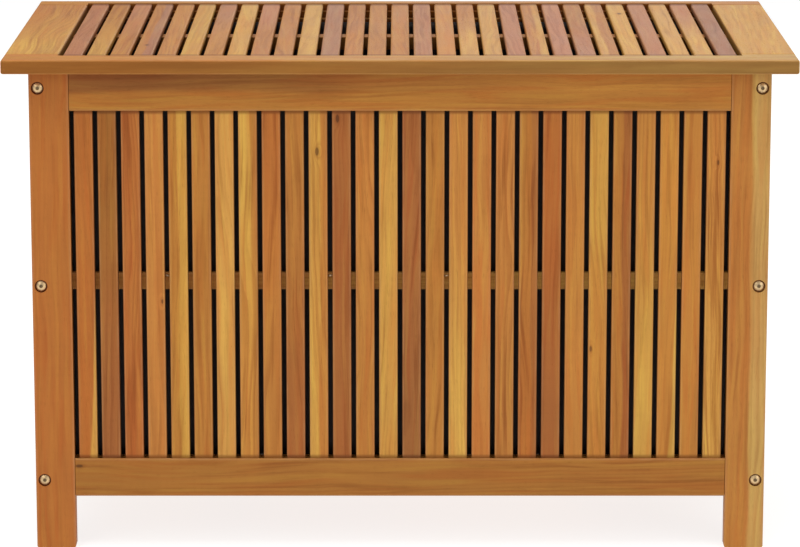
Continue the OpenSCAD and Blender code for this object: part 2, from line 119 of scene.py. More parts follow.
class Finish:
    # a material or a world, and the nodes that make it
    def __init__(self, name, shelf="materials"):
        self.owner = getattr(bpy.data, shelf).new(name)
        self.owner.use_nodes = True
        self.tree = self.owner.node_tree
        self.tree.nodes.clear()

    def node(self, kind, settings, sockets, output=0):
        made = self.tree.nodes.new("ShaderNode" + kind)
        for key, value in settings.items():
            setattr(made, key, value)
        for key, value in sockets.items():
            target = made.inputs[key]
            if isinstance(value, Wire):
                self.tree.links.new(value.socket, target)
            elif target.type == "RGBA" and len(value) == 3:
                target.default_value = (*value, 1.0)
            else:
                target.default_value = value
        return Wire(self, made.outputs[output]) if len(made.outputs) else None

    def combine(self, operation, a, b):
        kinds = [w.socket.type for w in (a, b) if isinstance(w, Wire)]
        if "RGBA" in kinds:
            return self.mix(1.0, self.triple(a), self.triple(b), operation)
        if "VECTOR" in kinds or isinstance(a, tuple) or isinstance(b, tuple):
            triples = {0: self.triple(a), 1: self.triple(b)}
            return self.node("VectorMath", {"operation": operation}, triples)
        return self.node("Math", {"operation": operation}, {0: a, 1: b})

    def triple(self, value):
        return value if isinstance(value, (Wire, tuple)) else (value,) * 3

    def mix(self, share, a, b, how="MIX"):
        return self.node("Mix", {"data_type": "RGBA", "blend_type": how}, {0: share, 6: a, 7: b}, 2)

    def attribute(self, name, output="Vector"):
        return self.node("Attribute", {"attribute_name": name}, {}, output)

    def noise(self, place, detail=3.0, rough=0.55):
        return self.node("TexNoise", {}, {"Vector": place, "Scale": 1.0, "Detail": detail,
                                          "Roughness": rough})

    def bump(self, height, strength, depth):
        return self.node("Bump", {}, {"Height": height, "Strength": strength, "Distance": depth})

    def surface(self, sockets):
        shader = self.node("BsdfPrincipled", {}, sockets)
        self.node("OutputMaterial", {}, {"Surface": shader})
        return self.owner


def linear(code):
    # colour from its web code, as the shader wants it
    levels = [int(code[i:i + 2], 16) / 255 for i in (0, 2, 4)]
    return tuple(v / 12.92 if v <= 0.04045 else ((v + 0.055) / 1.055) ** 2.4 for v in levels)


# Oiled acacia. Each board carries its own place in the log, so the grain runs through it as in solid wood.
tones = {
    "honey": "c69243", "straw": "cc9c4a", "amber": "ba7b37", "tan": "b17433", "orange": "ac672d",
    "russet": "9f602e", "brown": "915a2b", "wheat": "ba8f4d", "bronze": "9f662a", "rose": "b0744b",
    "mauve": "a46f4b",
}

grain = {
    "ringSpacing": 0.0046,              # metres between growth rings
    "ringDrift": 0.024,                 # slow wander of the rings, in metres
    "ringPush": 0.009,                  # how far a knot pushes the rings aside
    "knotStretch": (1.0, 1.0, 0.42),    # a knot's mark is longer along the grain
    "knotReach": -0.16,                 # how soon its push dies away
    "sway": (0.030, 0.0, 0.0),          # sideways wander of the bands, slow and wavy
    "waver": (0.0065, 0.0, 0.0),
    "toneWander": (0.5, 0.25),          # how unevenly one tone turns into the next, slow and wavy
    "edgeWander": (0.010, 0.006, 0.003),
    "bumpStrength": 0.30,
    "bumpDepth": 0.00035,
    "knot": linear("3a1e0e"),
    "pore": linear("5a3418"),
    "paleRubAndHighlight": linear("b98d62"),
    "scale": {                          # noise cells per metre across, through and along the board
        "slow": (14.0, 14.0, 2.6), "wavy": (55.0, 55.0, 9.0), "ringFade": (30.0, 30.0, 3.0),
        "dark": (185.0, 111.0, 6.5), "gold": (148.0, 92.5, 5.2), "red": (129.5, 92.5, 7.15),
        "patch": (22.0, 22.0, 11.0), "fibre": (1500.0, 1500.0, 26.0), "curl": (38.0, 38.0, 120.0),
        "pores": (2300.0, 2300.0, 120.0), "rub": (150.0, 150.0, 40.0),
    },
    "shift": {                          # keeps one noise from repeating another
        "gold": (31.0, 7.0, 3.0), "red": (5.0, 43.0, 17.0), "patch": (9.0, 2.0, 6.0),
        "pores": (5.0, 9.0, 2.0),
    },
    "span": {                           # where a mask starts and where it is full
        "lateRise": (0.30, 0.92), "lateFall": (1.0, 0.93), "ringFade": (0.38, 0.62), "pores": (0.68, 0.76),
        "endFace": (0.85, 0.98), "farTone": (0.12, 0.88), "gold": (0.44, 0.68), "red": (0.44, 0.66),
        "dark": (0.48, 0.72), "knotRim": (2.6, 1.0), "knotCore": (1.25, 0.75), "rub": (0.35, 0.7),
        "arrisSide": (0.0034, 0.0008), "arrisFace": (0.0030, 0.0004), "side": (0.0005, 0.0),
        "cutFace": (0.0010, 0.0028), "cutSide": (0.0006, 0.0020), "grooveShadow": (0.0050, 0.0016),
        "inward": (0.08, 0.16), "lip": (0.0035, 0.0055),
    },
    "lipRise": 0.003,                   # metres over which the dark on the lips begins and ends
    "amount": {                         # the most that each mask may do to the colour
        "gold": 0.75, "late": 0.08, "lateStreak": 0.42, "pores": 0.18, "knotRim": 0.45, "knotCore": 0.60,
        "endFace": 0.45, "arris": 0.20, "rub": 0.22, "paleRubAndHighlight": 0.75, "side": 0.6, "sideBand": 0.7,
        "cut": 0.85, "grooveShadow": 0.85,
    },
    "light": {"ground": 0.80, "patch": 0.22, "fibre": 0.12, "curl": 0.06},    # brightness
    "share": {                          # what is left of red, green and blue
        "dark": (0.62, 0.48, 0.38), "red": (0.98, 0.80, 0.74), "gold": (1.12, 1.27, 1.16),
        "side": (0.52, 0.45, 0.40), "cut": (0.30, 0.17, 0.11),
    },
    "rough": {"fibre": 0.14, "patch": 0.12, "pores": 0.16, "endFace": 0.14, "arris": 0.06},
    "height": {"fibre": 0.35, "late": 0.22, "pores": 0.8, "dark": 0.2, "knot": 0.8},
}


def acacia(name, contrast=1.0, roughness=0.52, sideShade=0.3, rebate=0.0, gloss=0.18, innerShade=0.0,
           edgeSoft=0.0015):
    f = Finish(name)
    scale, shift, span = grain["scale"], grain["shift"], grain["span"]
    amount, left = grain["amount"], grain["share"]
    at = f.attribute("grainAt")
    tone = f.attribute("tone", "Color")
    farTone = f.attribute("farTone", "Color")
    edgeTone = f.attribute("edgeTone", "Color")
    streak, edgeAt, redness = f.attribute("figure").parts()
    edgeLean = f.attribute("edgeLean").parts()[0]
    fromMiddle = f.attribute("fromMiddle")
    acrossHere, depthHere, alongHere = fromMiddle.parts()
    halfAcross, halfDepth, halfAlong = f.attribute("halfSize").parts()

    # growth rings about a pith line, pushed aside by a knot
    knotGap = (f.attribute("knotAt") * grain["knotStretch"]).length()
    knotPush = math.e ** (knotGap * knotGap * grain["knotReach"])
    slow = f.noise(at * scale["slow"], 2.0)
    wavy = f.noise(at * scale["wavy"], 2.0)
    swayed = at + ((slow - 0.5) * grain["sway"] + (wavy - 0.5) * grain["waver"])
    across, depth = swayed.parts()[:2]
    pith = (across * across + depth * depth) ** 0.5
    rings = (pith + (slow - 0.5) * grain["ringDrift"] + knotPush * grain["ringPush"]) / grain["ringSpacing"]
    turn = rings.only("FRACT")
    lateWood = turn.ramp(*span["lateRise"]) * turn.ramp(*span["lateFall"])
    ringFade = f.noise(at * scale["ringFade"], 1.0).ramp(*span["ringFade"])

    # soft bands of darker, golden and redder wood that run with the grain
    darkBand = f.noise(swayed * scale["dark"], 3.0)
    goldBand = f.noise(swayed * scale["gold"] + shift["gold"], 2.0)
    redBand = f.noise(swayed * scale["red"] + shift["red"], 2.0)
    patch = f.noise(at * scale["patch"] + shift["patch"], 2.0)

    # fine fibre, cross curl and open pores
    fibre = f.noise(at * scale["fibre"], 3.0, 0.6)
    curl = f.noise(at * scale["curl"], 1.0)
    pores = f.noise(at * scale["pores"] + shift["pores"], 0.0).ramp(*span["pores"])

    # end faces drink more oil
    facing = f.node("TexCoord", {}, {}, "Normal")
    ends = {0: facing, 1: f.attribute("alongAxis")}
    endOn = f.node("VectorMath", {"operation": "DOT_PRODUCT"}, ends, "Value")
    endFace = endOn.only("ABSOLUTE").ramp(*span["endFace"])

    # the board's own tones: near end, far end and the strip along one side
    toneSlow, toneWavy = grain["toneWander"]
    along = (alongHere / halfAlong) * 0.5 + 0.5 + (slow - 0.5) * toneSlow + (wavy - 0.5) * toneWavy
    base = f.mix(along.ramp(*span["farTone"]), tone, farTone)
    wanderSlow, wanderWavy, wanderBand = grain["edgeWander"]
    wander = (slow - 0.5) * wanderSlow + (wavy - 0.5) * wanderWavy + (goldBand - 0.5) * wanderBand
    pastEdge = (acrossHere + wander - edgeAt + alongHere * edgeLean).ramp(-edgeSoft, edgeSoft)
    base = f.mix(pastEdge, base, edgeTone)

    # figure
    dark = base * left["dark"]
    colour = f.mix(goldBand.ramp(*span["gold"]) * amount["gold"] * contrast, base, base * left["gold"])
    colour = f.mix(redBand.ramp(*span["red"]) * redness * contrast, colour, base * left["red"])
    colour = f.mix(darkBand.ramp(*span["dark"]) * streak * contrast, colour, dark)
    ringDark = lateWood * ringFade * (amount["late"] + streak * amount["lateStreak"])
    colour = f.mix(ringDark * contrast, colour, dark)
    light = grain["light"]
    colour = colour * (light["ground"] + patch * light["patch"] + fibre * light["fibre"]
                       + curl * light["curl"])
    colour = f.mix(pores * amount["pores"], colour, grain["pore"])
    knotRim = knotGap.ramp(*span["knotRim"])
    knotCore = knotGap.ramp(*span["knotCore"])
    colour = f.mix(knotRim * amount["knotRim"], colour, dark)
    colour = f.mix(knotCore * amount["knotCore"], colour, grain["knot"])
    colour = f.mix(endFace * amount["endFace"], colour, dark)

    # sanded arrises are paler and drier, partly wear from rubbing and partly a painted highlight on the
    # rounding
    fromSide = halfAcross - acrossHere.only("ABSOLUTE")
    fromFace = halfDepth - depthHere.only("ABSOLUTE")
    fromEnd = halfAlong - alongHere.only("ABSOLUTE")
    rub = f.noise(fromMiddle * scale["rub"] + at, 2.0).ramp(*span["rub"])
    arris = fromSide.ramp(*span["arrisSide"]) * fromFace.ramp(*span["arrisFace"])
    paleRubAndHighlight = f.mix(amount["paleRubAndHighlight"], base, grain["paleRubAndHighlight"])
    colour = f.mix(arris * (amount["arris"] + rub * amount["rub"]), colour, paleRubAndHighlight)
    # painted shade on the side faces, such as the lid's front edge and the slats' sides in the gaps, varied
    # by the dark bands
    paintedSideShade = fromSide.ramp(*span["side"]) * sideShade * (amount["side"] + darkBand * amount["sideBand"])
    colour = f.mix(paintedSideShade.smaller(1.0), colour, base * left["side"])
    # painted shade in recesses, such as the groove bottoms and rebates seen between the slats
    cutMask = (fromFace.ramp(*span["cutFace"]) * fromSide.ramp(*span["cutSide"])
               * fromEnd.ramp(*span["cutSide"]))
    colour = f.mix(cutMask * amount["cut"], colour, base * left["cut"])

    if rebate:
        # painted shadow line where a slat goes into its rail's groove
        start, full = span["grooveShadow"]
        grooveShadow = fromEnd.ramp(rebate + start, rebate + full)
        colour = f.mix(grooveShadow * amount["grooveShadow"], colour, base * left["side"])

    if innerShade:
        # painted shade on the faces that look into the box and on the lips behind the slats, which are seen
        # in shade through the gaps
        facingY, facingZ = facing.parts()[1:]
        placeY, placeZ = f.node("TexCoord", {}, {}, "Object").parts()[1:]
        inward = (facingY * placeY * -1.0).ramp(*span["inward"])
        slatLow, slatHigh = (corner[2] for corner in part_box("front_slats"))
        rise = grain["lipRise"]
        betweenRails = placeZ.ramp(slatLow, slatLow + rise) * placeZ.ramp(slatHigh, slatHigh - rise)
        lips = fromFace.ramp(*span["lip"]) * facingZ.only("ABSOLUTE") * betweenRails
        colour = f.mix(inward.larger(lips) * innerShade, colour, base * left["cut"])

    rough, high = grain["rough"], grain["height"]
    dryness = (roughness + (fibre - 0.5) * rough["fibre"] + (patch - 0.5) * rough["patch"]
               + pores * rough["pores"] + endFace * rough["endFace"] + arris * rough["arris"])
    height = (fibre * high["fibre"] + lateWood * high["late"] - pores * high["pores"]
              + darkBand * high["dark"] - knotRim * knotCore * high["knot"])
    relief = f.bump(height, grain["bumpStrength"], grain["bumpDepth"])
    return f.surface({"Base Color": colour, "Roughness": dryness, "Normal": relief, "IOR": 1.46,
                      "Specular IOR Level": gloss})


def islandsOf(mesh):
    # which separate solid each vertex belongs to, and the vertices' places
    places = np.empty(len(mesh.vertices) * 3)
    mesh.vertices.foreach_get("co", places)
    places = places.reshape(-1, 3)
    spots, same = np.unique(np.round(places, 6), axis=0, return_inverse=True)    # same to a micron
    same = same.ravel()
    ends = np.empty(len(mesh.edges) * 2, int)
    mesh.edges.foreach_get("vertices", ends)
    a, b = same[ends[0::2]], same[ends[1::2]]
    label = np.arange(len(spots))
    while True:
        low = np.minimum(label[a], label[b])
        fresh = label.copy()
        np.minimum.at(fresh, a, low)
        np.minimum.at(fresh, b, low)
        if (fresh == label).all():
            break
        label = fresh
    label = label[same]
    groups = [np.nonzero(label == island)[0] for island in np.unique(label)]
    return sorted(groups, key=lambda mine: tuple(np.round(places[mine].mean(axis=0), 4))), places


def setAttribute(mesh, name, kind, values):
    field = mesh.attributes.new(name, kind, "POINT")
    channel = "color" if kind == "FLOAT_COLOR" else "vector"
    field.data.foreach_set(channel, np.asarray(values, float).ravel())


def wear(part, material):
    part.data.materials.clear()
    part.data.materials.append(material)


# How one board differs from the next, and how its edges are eased
boardLook = {
    "pithAway": (0.03, 0.13),           # metres from the board to the middle of its log
    "slant": (-0.035, 0.035),           # lean of the grain across the board
    "upTheLog": (2.0, 40.0),            # metres, so that no two boards share their grain
    "stripStart": (0.0, 0.3),           # of half the board's width, out from its middle
    "stripTaper": 0.8,                  # of half the board's width, where a tapered strip is widest
    "light": (0.95, 1.05),
    "green": (0.97, 1.03),
    "blue": (0.92, 1.08),
    "streaks": (0.4, 0.95),
    "redness": (0.4, 0.95),
    "noKnot": 60.0,                     # knot radii to a knot that isn't there
    "noStrip": 1.0,                     # metres to a strip that isn't there
    "sameFace": 1e-5,
    "weld": 1e-6,
    "flatAngle": 0.5,                   # degrees
    "easeSteps": 3,
}
arrises = {"frame": 0.0017, "slat": 0.0017, "lid": 0.0024, "lidSlat": 0.0020, "inner": 0.0008}
# darker copies of the tones: painted shade on the lid, whose top takes the most light, and on its batten in
# the shade under the lid; for the slats a small overall darkening
shades = {"slat": 0.965, "lid": 0.88, "lidBatten": 0.85}


def readTone(text):
    # a tone reads "near>far/side:edge": it can change along the board and past one side,
    # and with Taper after the side that strip narrows from the near end to nothing half way
    named, _, edge = text.partition("/")
    near, _, far = named.partition(">")
    side, _, edgeName = edge.partition(":")
    return {"tone": near, "farTone": far or near, "edgeTone": edgeName or "honey"}, side


def easeEdges(board, corners, width):
    look = boardLook
    board.vertex_groups.new(name="arris").add(corners, 1.0, "REPLACE")
    board.modifiers.new("weld", "WELD").merge_threshold = look["weld"]
    flats = board.modifiers.new("flats", "DECIMATE")
    flats.decimate_type = "DISSOLVE"
    flats.angle_limit = math.radians(look["flatAngle"])
    ease = board.modifiers.new("ease", "BEVEL")
    ease.limit_method = "VGROUP"
    ease.vertex_group = "arris"
    ease.width = width
    ease.segments = look["easeSteps"]
    board.modifiers.new("shading", "WEIGHTED_NORMAL").keep_sharp = True


def dressBoards(nodeName, material, toneList, arris, knots=(), streaks=boardLook["streaks"], shade=1.0):
    # gives every board of a node its own grain, tone and eased edges
    look = boardLook
    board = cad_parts[nodeName]
    mesh = board.data
    islands, places = islandsOf(mesh)
    draw = random.Random("acacia " + nodeName)
    count = len(mesh.vertices)
    vectorNames = ("grainAt", "fromMiddle", "halfSize", "alongAxis", "figure", "edgeLean")
    vectors = {name: np.zeros((count, 3)) for name in vectorNames}
    vectors["knotAt"] = np.full((count, 3), look["noKnot"])
    colours = {name: np.ones((count, 4)) for name in ("tone", "farTone", "edgeTone")}
    corners = []
    for index, mine in enumerate(islands):
        low, high = places[mine].min(axis=0), places[mine].max(axis=0)
        size = high - low
        order = np.argsort(size)[[1, 0, 2]]           # across, depth, along
        local = (places[mine] - (low + high) / 2)[:, order]
        half = size[order] / 2
        angle = draw.uniform(0, 2 * math.pi)
        away = draw.uniform(*look["pithAway"])
        slant = draw.uniform(*look["slant"])
        upTheLog = draw.uniform(*look["upTheLog"])
        grainAt = local + (math.cos(angle) * away, math.sin(angle) * away, upTheLog)
        grainAt[:, 0] += local[:, 2] * slant
        vectors["grainAt"][mine] = grainAt
        vectors["halfSize"][mine] = half
        vectors["alongAxis"][mine] = np.eye(3)[order[2]]
        toneNames, side = readTone(toneList[index % len(toneList)])
        flip = -1 if side.startswith("low") else 1
        vectors["fromMiddle"][mine] = local * (flip, 1, 1)
        edgeAt = half[0] * draw.uniform(*look["stripStart"]) if side else look["noStrip"]
        if side.endswith("Taper"):
            edgeAt = half[0]
            vectors["edgeLean"][mine, 0] = -look["stripTaper"] * half[0] / half[2]
        light = draw.uniform(*look["light"]) * shade
        warmth = np.array([1.0, draw.uniform(*look["green"]), draw.uniform(*look["blue"])]) * light
        for name, tone in toneNames.items():
            colours[name][mine, :3] = np.array(linear(tones[tone])) * warmth
        vectors["figure"][mine] = (draw.uniform(*streaks), edgeAt, draw.uniform(*look["redness"]))
        for knotBoard, acrossShare, alongShare, radius in knots:
            if knotBoard == index:
                centre = ((acrossShare * 2 - 1) * half[0], half[1], (alongShare * 2 - 1) * half[2])
                gap = local - np.array(centre)
                gap[:, 1] = 0.0
                vectors["knotAt"][mine] = gap / radius
        # a vertex on two or more of the board's faces is on an arris
        onLow = (np.abs(places[mine] - low) < look["sameFace"]).sum(axis=1)
        onHigh = (np.abs(places[mine] - high) < look["sameFace"]).sum(axis=1)
        corners += mine[onLow + onHigh >= 2].tolist()
    for name, values in vectors.items():
        setAttribute(mesh, name, "FLOAT_VECTOR", values)
    for name, values in colours.items():
        setAttribute(mesh, name, "FLOAT_COLOR", values)
    wear(board, material)
    easeEdges(board, corners, arris)


frameWood = acacia("acaciaFrame", contrast=0.9, sideShade=0.2, innerShade=0.85, edgeSoft=0.004)
slatWood = acacia("acaciaSlats", sideShade=0.9, rebate=0.008)
lidWood = acacia("acaciaLid", roughness=0.55, sideShade=0.9, gloss=0.12, innerShade=0.7, edgeSoft=0.004)
lidSlatWood = acacia("acaciaLidSlats", contrast=0.75, roughness=0.55, sideShade=0.0, rebate=0.010,
                     gloss=0.12)
innerWood = acacia("acaciaInner", contrast=0.8, roughness=0.62, sideShade=0.5)
lidBattenWood = acacia("acaciaLidBatten", contrast=0.8, roughness=0.62, sideShade=0.95)

# the boards' tones from the left, or on the sides from the front; a short list starts again
frontTones = ("orange/highTaper:honey russet>bronze orange amber tan/high tan honey amber>honey/high:tan "
              "tan>orange russet>tan amber/low russet tan>amber honey brown>russet tan honey>amber amber "
              "tan>amber orange>tan/high:russet russet>orange amber amber>honey tan/high:russet honey>amber "
              "amber/highTaper:straw amber/highTaper:tan honey>amber").split()
backTones = ("amber tan honey>amber orange amber/high russet>tan amber honey tan>orange amber "
             "straw/low tan orange>tan").split()
sideTones = ("tan honey>amber amber orange amber/low tan>brown honey russet amber>honey tan/high tan "
             "amber").split()
lidTones = ("rose honey>tan tan>rose tan/high:mauve amber honey amber>rose honey tan>rose tan honey mauve "
            "amber>tan tan tan rose amber honey>tan honey rose amber/high rose rose>tan tan/low honey/low "
            "rose honey honey>rose mauve").split()
floorTones = "tan amber brown tan russet amber".split()

# a knot is the board it is in, its place across and along it, and its radius
panels = {
    "front": {
        "slats": frontTones, "stiles": ("orange", "tan/high:wheat"),
        "rails": ("brown>amber/low:tan", "bronze"),
        "knots": [(10, 0.45, 0.87, 0.0020), (27, 0.60, 0.84, 0.0012), (11, 0.30, 0.96, 0.002),
                  (3, 0.85, 0.457, 0.0011), (22, 0.15, 0.325, 0.0014)],
        "railKnots": {"bottom": [(0, 0.80, 0.026, 0.0017)]},
    },
    "back": {
        "slats": backTones, "stiles": ("amber", "tan/low:amber"), "rails": ("tan>amber", "russet>tan"),
        "knots": [(6, 0.5, 0.3, 0.002), (19, 0.3, 0.62, 0.0026)], "railKnots": {},
    },
    "left": {
        "slats": sideTones, "stiles": ("amber", "tan"), "rails": ("tan", "brown>tan"),
        "knots": [(4, 0.6, 0.55, 0.002)], "railKnots": {},
    },
    "right": {
        "slats": sideTones[::-1], "stiles": ("tan", "amber>tan"), "rails": ("amber", "tan"),
        "knots": [(8, 0.4, 0.3, 0.0022)], "railKnots": {},
    },
}
lid = {
    "frame": {"lid_front_rail": "amber>wheat", "lid_back_rail": "amber", "lid_left_end": "honey>amber",
              "lid_right_end": "honey"},
    "knots": [(3, 0.5, 0.2, 0.002), (24, 0.6, 0.8, 0.0024)],
}
calm = {"stiles": (0.3, 0.55), "rails": (0.35, 0.6), "lid": (0.35, 0.65)}    # fewer streaks than the slats

for side, look in panels.items():
    ends = ("left", "right") if side in ("front", "back") else ("front", "back")
    dressBoards(side + "_slats", slatWood, look["slats"], arrises["slat"], look["knots"],
                shade=shades["slat"])
    for end, tone in zip(ends, look["stiles"]):
        dressBoards(f"{side}_{end}_stile", frameWood, [tone], arrises["frame"], streaks=calm["stiles"])
    for rail, tone in zip(("top", "bottom"), look["rails"]):
        dressBoards(f"{side}_{rail}_rail", frameWood, [tone], arrises["frame"],
                    look["railKnots"].get(rail, ()), streaks=calm["rails"])
    dressBoards(side + "_batten", innerWood, ["tan>honey"], arrises["inner"])
dressBoards("lid_slats", lidSlatWood, lidTones, arrises["lidSlat"], lid["knots"], shade=shades["lid"])
for name, tone in lid["frame"].items():
    dressBoards(name, lidWood, [tone], arrises["lid"], streaks=calm["lid"], shade=shades["lid"])
dressBoards("lid_batten", lidBattenWood, ["tan"], arrises["inner"], shade=shades["lidBatten"])
for name in ("front_cleat", "back_cleat"):
    dressBoards(name, innerWood, ["brown"], arrises["inner"])
dressBoards("floor_boards", innerWood, floorTones, arrises["inner"])
print("boards dressed")


# Clouded plating with fine scratches, a little stain, and dirt with painted shade in the sockets
plating = {
    "cloudScale": (380.0, 380.0, 380.0),    # noise cells per metre
    "stainScale": (140.0, 140.0, 140.0),
    "cloudSpan": (0.3, 0.75),               # where a mask starts and where it is full
    "stainSpan": (0.56, 0.78),
    "cloudAmount": 0.35,
    "stainAmount": 0.22,
    "cloudTone": linear("8f8a7c"),
    "stainTone": linear("6a5f4c"),
    "scratchRough": 0.22,
    "stainRough": 0.16,
    "stainDull": 0.15,
    "scratchHigh": 0.6,
    "cloudHigh": 0.4,
    "bumpStrength": 0.18,
    "bumpDepth": 0.00012,
    "socketSpan": (1.12, 0.8),              # of the socket's radius
    "rimSpan": (0.0054, 0.0059),            # metres from the bolt's axis
    "rimDirtAndShade": 0.3,
    "dirtAndShadeTone": linear("2b1c10"),
    "dirtAndShadeAmount": 0.65,
    "dirtRough": 0.3,
    "dirtDull": 0.6,
}


def platedSteel(name, base, brush, roughness, socket=0.0):
    f = Finish(name)
    look = plating
    at = f.node("TexCoord", {}, {}, "Object")
    cloudy = f.noise(at * look["cloudScale"], 4.0, 0.6)
    fine = f.noise(at * brush, 2.0, 0.6)
    stain = f.noise(at * look["stainScale"], 3.0).ramp(*look["stainSpan"])
    clouds = cloudy.ramp(*look["cloudSpan"]) * look["cloudAmount"]
    colour = f.mix(clouds, linear(base), look["cloudTone"])
    colour = f.mix(stain * look["stainAmount"], colour, look["stainTone"])
    rough = roughness + (fine - 0.5) * look["scratchRough"] + stain * look["stainRough"]
    metal = 1.0 - stain * look["stainDull"]
    if socket:
        # the key socket and the head's rim are darker: dirt and oil, together with painted shade of the
        # socket and of the counterbore
        fromAxis = f.attribute("fromAxis").length()
        start, full = look["socketSpan"]
        rim = fromAxis.ramp(*look["rimSpan"]) * look["rimDirtAndShade"]
        dirtAndShade = fromAxis.ramp(socket * start, socket * full).larger(rim)
        colour = f.mix(dirtAndShade * look["dirtAndShadeAmount"], colour, look["dirtAndShadeTone"])
        rough = rough + dirtAndShade * look["dirtRough"]
        metal = metal - dirtAndShade * look["dirtDull"]
    height = fine * look["scratchHigh"] + cloudy * look["cloudHigh"]
    return f.surface({"Base Color": colour, "Metallic": metal, "Roughness": rough,
                      "Normal": f.bump(height, look["bumpStrength"], look["bumpDepth"])})


boltSteel = platedSteel("zincBolt", "dcbc8c", (900.0, 900.0, 900.0), 0.36, socket=0.0021)
hingeSteel = platedSteel("zincHinge", "c9c6bb", (160.0, 2600.0, 2600.0), 0.34)
screwSteel = platedSteel("zincScrew", "cfcabb", (1400.0, 1400.0, 1400.0), 0.32)
stapleWire = platedSteel("stapleWire", "e6c79c", (1400.0, 1400.0, 1400.0), 0.42)
insertBrass = platedSteel("insertBrass", "c9a455", (1200.0, 300.0, 1200.0), 0.34)

for name in ("front_corner_bolts", "back_corner_bolts"):
    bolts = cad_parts[name].data
    islands, places = islandsOf(bolts)
    fromAxis = np.zeros((len(bolts.vertices), 3))
    for mine in islands:
        middle = (places[mine].min(axis=0) + places[mine].max(axis=0)) / 2
        fromAxis[mine] = (places[mine] - middle) * (1, 0, 1)
    setAttribute(bolts, "fromAxis", "FLOAT_VECTOR", fromAxis)
    wear(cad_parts[name], boltSteel)
for name in ("cleat_screws", "floor_screws", "lid_batten_screws", "hinge_body_screws", "hinge_lid_screws"):
    wear(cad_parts[name], screwSteel)
for side in ("left", "right"):
    for part in ("body_leaf", "lid_leaf", "pin"):
        wear(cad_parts[f"{side}_hinge_{part}"], hingeSteel)
wear(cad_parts["corner_inserts"], insertBrass)
print("metal dressed")


# The liner is a bag of coated cloth, hung by its rim from hook tape on the top rails
linerLook = {
    "around": 360,                      # points around the bag
    "up": 48,                           # rows from the rim to the floor
    "cloth": 0.0009,
    "cornerRadius": 0.022,
    "belly": 0.006,                     # how far the walls hang in from the panels
    "bellyTurn": 1.15,                  # over 1, so the belly ends above the floor
    "bellyMiddle": 0.5,
    "bellyFoot": 0.12,
    "folds": 46,
    "foldWidth": (0.010, 0.034),
    "foldDepth": (0.3, 1.0),            # of the belly
    "foldSlant": (-0.12, 0.12),
    "foldStart": (0.1, 1.0),            # of the way down
    "foldReach": 3,                     # widths
    "foldFade": 0.45,                   # of the wall's height
    "foldBelowTape": 6,                 # the folds grow over the top sixth of the wall
    "wallCreases": (0.32, 0.66),        # of the way down
    "wallCreaseHigh": 0.0016,
    "floorCreaseX": (0.11, 0.0024),     # place and height
    "floorCreaseY": (-0.03, 0.0020),
    "creaseWidth": 0.004,
    "wallRipple": 0.0016,
    "wallRippleScale": 16,
    "floorRipple": 0.0022,
    "floorRippleScale": 9,
    "floorRippleLift": 0.6,
    "floorLift": 0.0016,
    "cornerReach": 0.075,
    "cornerInward": 0.004,
    "droop": 0.008,                     # sag of the rim at the corners
    "floorRound": 0.018,
    "floorRings": 12,
    "middleGap": 0.6,                   # of a ring's width, left for the last face
    "clearWall": 0.0008,                # least distance in from the panels
    "clearFloor": 0.0012,               # and up from the floor boards
    "seed": 7,
    "hem": 0.022,
    "stitch": 0.0070,
    "thread": 0.0010,
}

coating = {
    "dustScale": (55.0, 55.0, 55.0),    # noise cells per metre
    "patchScale": (9.0, 9.0, 9.0),
    "creaseScale": (70.0, 70.0, 46.0),
    "dustSpan": (0.5, 0.85),            # where the dust starts and where it is full
    "weaveTone": linear("2c1a13"),
    "dustTone": linear("62584c"),
    "threadTone": linear("5c5048"),
    "weaveAmount": 0.5,
    "dustAmount": 0.12,
    "threadAmount": 0.55,
    "weaveHigh": 0.4,
    "overHigh": 0.15,
    "creaseHigh": 2.2,
    "threadHigh": 2.4,
    "hemHigh": 2.0,
    "hemStep": 0.0006,
    "stitchAt": 0.82,                   # of the hem
    "threadCore": 0.4,                  # of the thread
    "stitchSpan": (-0.5, -0.1),
    "patchRough": 0.16,
    "weaveRough": 0.05,
    "sheen": 0.15,
    "bumpStrength": 0.4,
    "bumpDepth": 0.0003,
}


def coatedCloth(name, base, pitch, roughness, hem=0.0):
    f = Finish(name)
    look = coating
    across, down = f.attribute("clothAt").parts()[:2]
    threads = 2 * math.pi / pitch
    over = (across * threads).only("SINE")
    under = (down * threads).only("SINE")
    weave = over * under
    at = f.node("TexCoord", {}, {}, "Object")
    dust = f.noise(at * look["dustScale"], 4.0, 0.6).ramp(*look["dustSpan"])
    patch = f.noise(at * look["patchScale"], 2.0)
    crease = f.noise(at * look["creaseScale"], 3.0, 0.6)
    colour = f.mix(weave.ramp(-1.0, 1.0) * look["weaveAmount"], linear(base), look["weaveTone"])
    colour = f.mix(dust * look["dustAmount"], colour, look["dustTone"])
    height = weave * look["weaveHigh"] + over * look["overHigh"] + crease * look["creaseHigh"]
    if hem:
        # a line of thread under the hem and the step where the cloth is turned over
        wide = linerLook["thread"]
        line = (down - hem * look["stitchAt"]).only("ABSOLUTE").ramp(wide, wide * look["threadCore"])
        dash = (across * (2 * math.pi / linerLook["stitch"])).only("SINE").ramp(*look["stitchSpan"])
        thread = line * dash
        turned = down.ramp(hem + look["hemStep"], hem - look["hemStep"])
        colour = f.mix(thread * look["threadAmount"], colour, look["threadTone"])
        height = height + thread * look["threadHigh"] + turned * look["hemHigh"]
    rough = roughness + (patch - 0.5) * look["patchRough"] + weave * look["weaveRough"]
    return f.surface({"Base Color": colour, "Roughness": rough, "Sheen Weight": look["sheen"],
                      "Normal": f.bump(height, look["bumpStrength"], look["bumpDepth"])})


